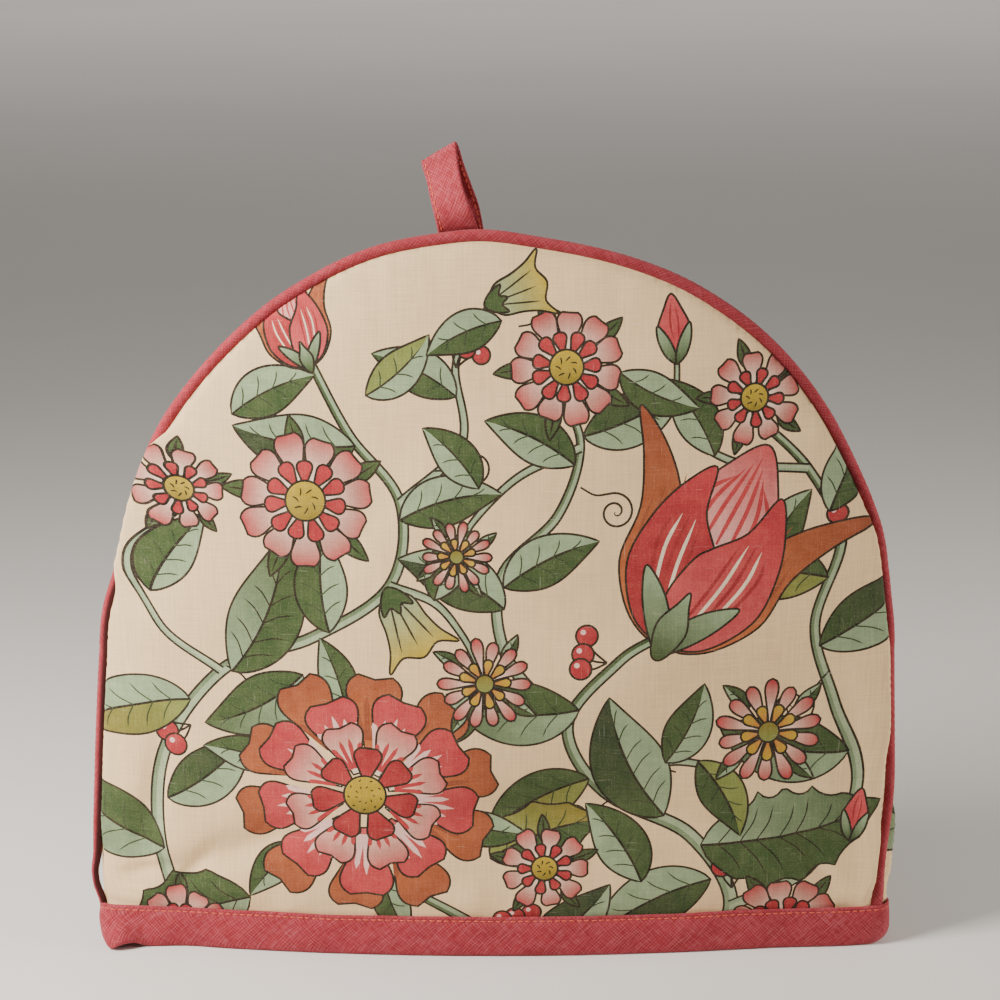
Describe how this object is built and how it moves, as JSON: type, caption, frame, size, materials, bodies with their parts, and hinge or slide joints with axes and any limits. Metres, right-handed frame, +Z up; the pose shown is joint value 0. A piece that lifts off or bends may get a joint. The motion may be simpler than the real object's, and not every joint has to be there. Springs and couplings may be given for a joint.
{
  "type": "tea cosy",
  "caption": "Padded fabric tea cosy, dome shaped, with covered cord in the arch seam, a coral bias band round the open hem and a small hanging loop at the crown.",
  "frame": {"origin": "middle of the whole cosy's box, at the level of the surface it stands on", "axes": "+X across the cosy to the right seen from the front, +Y from the front panel to the back panel, +Z up"},
  "size_m": [0.3028, 0.0502, 0.3021],
  "materials": {
    "printed_cotton": "matte",
    "coral_linen": "matte",
    "coral_piping": "matte"
  },
  "bodies": {
    "root": {"front_panel": "printed_cotton", "back_panel": "printed_cotton", "hem_band": "coral_linen", "piping": "coral_piping", "hang_loop": "coral_linen"}
  },
  "joints": []
}
